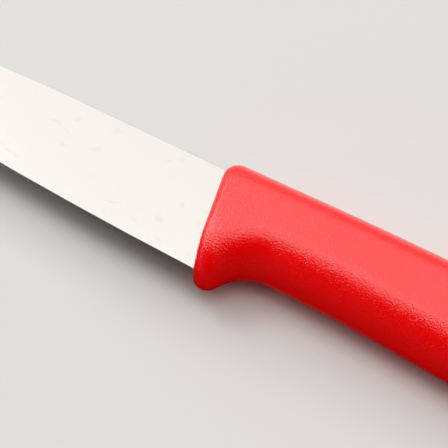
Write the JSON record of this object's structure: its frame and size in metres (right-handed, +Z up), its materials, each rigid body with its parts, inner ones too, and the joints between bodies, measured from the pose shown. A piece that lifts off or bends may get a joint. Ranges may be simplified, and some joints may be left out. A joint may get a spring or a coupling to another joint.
{
  "type": "paring knife",
  "caption": "Small fixed-blade paring knife with a plain steel blade and a red plastic handle moulded round its tang, with a finger guard, lying on its side.",
  "frame": {"origin": "centre of the bounding box on the surface that the knife lies on, with the knife on its side", "axes": "+X to the butt with the tip at -X, -Y the way the cutting edge faces, +Z up, square to the blade's flat"},
  "size_m": [0.1968, 0.022, 0.013],
  "materials": {
    "blade_steel": "plain fine-ground stainless steel, satin, with a sharpened edge bevel",
    "handle_plastic": "red moulded plastic with a fine pebble texture"
  },
  "bodies": {
    "root": {"blade": "blade_steel", "handle": "handle_plastic"}
  },
  "joints": []
}
